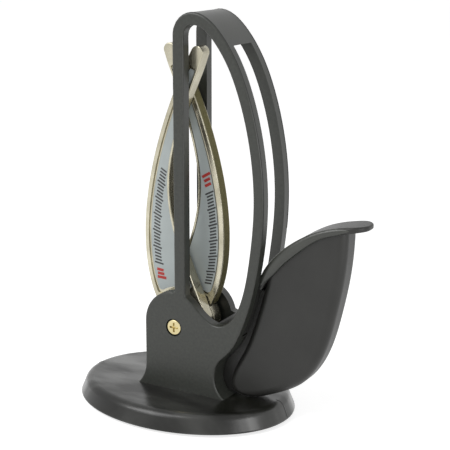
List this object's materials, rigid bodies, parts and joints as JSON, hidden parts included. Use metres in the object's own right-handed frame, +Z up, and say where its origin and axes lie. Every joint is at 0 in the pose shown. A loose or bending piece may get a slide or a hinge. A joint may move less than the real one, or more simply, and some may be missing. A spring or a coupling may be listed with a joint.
{
  "type": "manual knife sharpener",
  "caption": "Free-standing manual knife sharpener: crossed spring-loaded abrasive arms pivot in a looped guide frame with a side handle on an oval base.",
  "frame": {"origin": "centre of the oval foot pad's underside, on the surface the sharpener stands on", "axes": "+X from the arms to the handle, +Y the direction a blade is drawn in, away from the viewer, +Z up"},
  "size_m": [0.1653, 0.0914, 0.2089],
  "materials": {
    "frame_plastic": "satin moulded charcoal",
    "base_plastic": "semi-gloss moulded charcoal",
    "handle_plastic": "matte moulded charcoal",
    "inner_plastic": "matte",
    "foot_rubber": "matte grooved",
    "arm_metal": "warm satin plated",
    "label_film": "satin film",
    "abrasive": "fine grit",
    "bush_bronze": "machined",
    "pivot_brass": "bright plated",
    "pin_steel": "ground",
    "screw_steel": "zinc plated",
    "spring_steel": "drawn wire"
  },
  "bodies": {
    "stand": {"foot_pad": "foot_rubber", "base_cover": "inner_plastic", "base_cover_screws": "screw_steel", "base_shell": "base_plastic", "frame": "frame_plastic", "frame_screws": "screw_steel", "handle_near_shell": "handle_plastic", "handle_far_shell": "handle_plastic", "handle_screws": "screw_steel", "tongue_screws": "screw_steel", "pivot_barrel": "pin_steel", "near_pivot_screw": "pivot_brass", "far_pivot_screw": "pivot_brass", "near_washer": "pin_steel", "middle_washer": "pin_steel", "far_washer": "pin_steel", "stop_pin": "pin_steel", "near_arm_spring": "spring_steel", "far_arm_spring": "spring_steel"},
    "near_arm_group": {"near_arm": "arm_metal", "near_arm_outer_label": "label_film", "near_arm_inner_label": "label_film", "near_arm_abrasive": "abrasive", "near_arm_bush": "bush_bronze"},
    "far_arm_group": {"far_arm": "arm_metal", "far_arm_outer_label": "label_film", "far_arm_inner_label": "label_film", "far_arm_abrasive": "abrasive", "far_arm_bush": "bush_bronze"}
  },
  "joints": [
    {"name": "near_arm_hinge", "type": "hinge", "parent": "stand", "child": "near_arm_group", "pos_m": [0.0012, 0, 0.0453], "axis": [0, 1, 0], "range_deg": [0, 30], "stiffness_Nm_per_rad": 0.15, "springref_deg": -57.3, "deforming": ["near_arm_spring"]},
    {"name": "far_arm_hinge", "type": "hinge", "parent": "stand", "child": "far_arm_group", "pos_m": [0.0012, 0, 0.0453], "axis": [0, -1, 0], "range_deg": [0, 30], "stiffness_Nm_per_rad": 0.15, "springref_deg": -57.3, "deforming": ["far_arm_spring"]}
  ]
}
